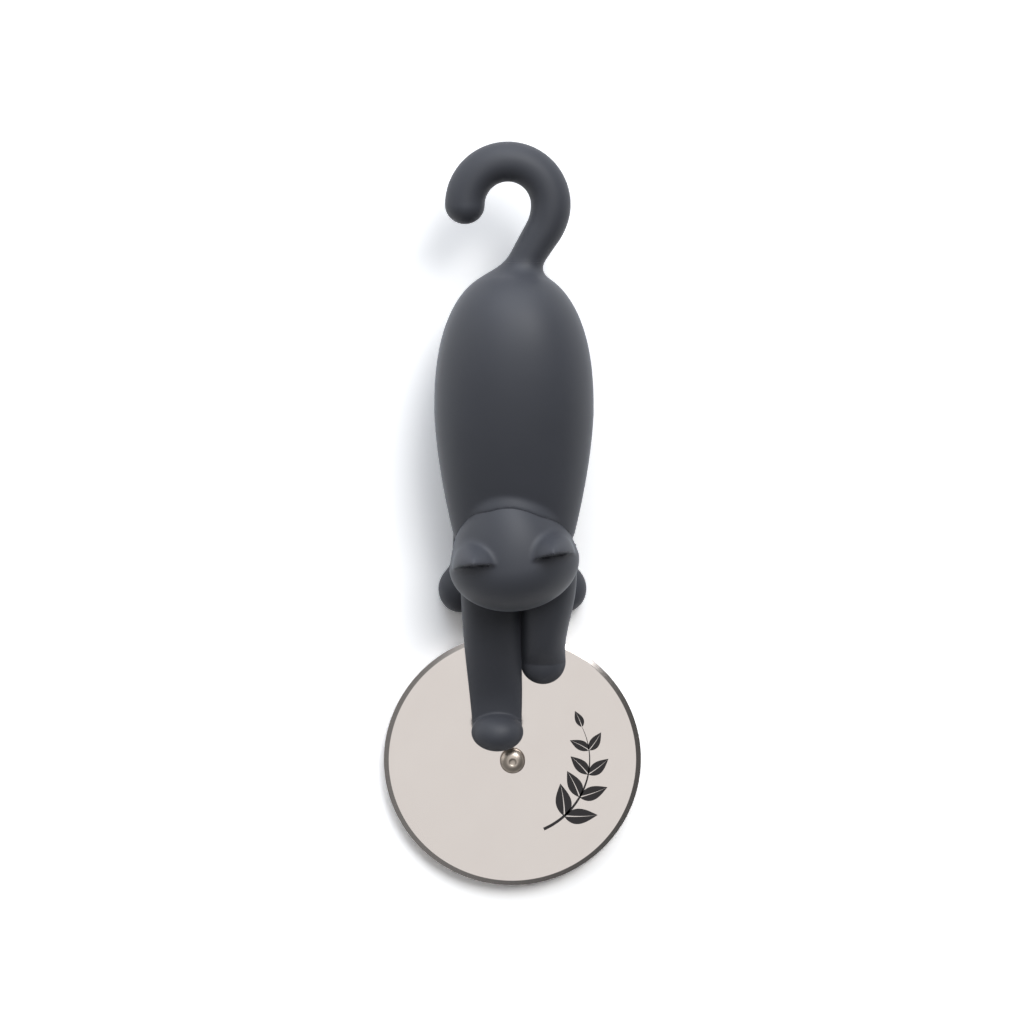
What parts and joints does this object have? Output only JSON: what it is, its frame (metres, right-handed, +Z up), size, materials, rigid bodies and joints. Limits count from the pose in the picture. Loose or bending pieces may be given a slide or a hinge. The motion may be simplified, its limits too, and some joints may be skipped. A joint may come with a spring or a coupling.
{
  "type": "pizza cutter",
  "caption": "Pizza cutter whose soft-touch handle is a stalking cat: arched torso grip, curled tail hanging hook, and forelegs reaching over a free-spinning steel wheel on a cranked arm.",
  "frame": {"origin": "centre of the flat rear end of the axle rivet, on the wheel's axis at the table the cutter lies on", "axes": "+Z up along the wheel's axis to the cat's back, +Y along the part from the wheel to the tail, +X to the right seen from above with the tail up"},
  "size_m": [0.07, 0.2025, 0.0476],
  "materials": {
    "soft_touch": "charcoal soft-touch plastic with a fine matt grain",
    "polished_steel": "polished stainless steel",
    "satin_steel": "satin stainless steel",
    "bearing_plastic": "natural acetal"
  },
  "bodies": {
    "handle": {"back_shell": "soft_touch", "belly_shell": "soft_touch", "head": "soft_touch", "tail_hook": "soft_touch", "left_foreleg": "soft_touch", "right_foreleg": "soft_touch", "left_hind_leg": "soft_touch", "right_hind_leg": "soft_touch", "wheel_arm": "satin_steel", "axle_rivet": "polished_steel", "rear_washer": "bearing_plastic", "front_washer": "bearing_plastic", "arm_screw_front": "satin_steel", "arm_screw_rear": "satin_steel", "shell_screw_front": "satin_steel", "shell_screw_rear": "satin_steel"},
    "wheel": {"wheel_blade": "polished_steel", "wheel_bush": "bearing_plastic"}
  },
  "joints": [
    {"name": "wheel_spin", "type": "hinge", "parent": "handle", "child": "wheel", "pos_m": [0, 0, 0.0047], "axis": [0, 0, 1], "continuous": true}
  ]
}
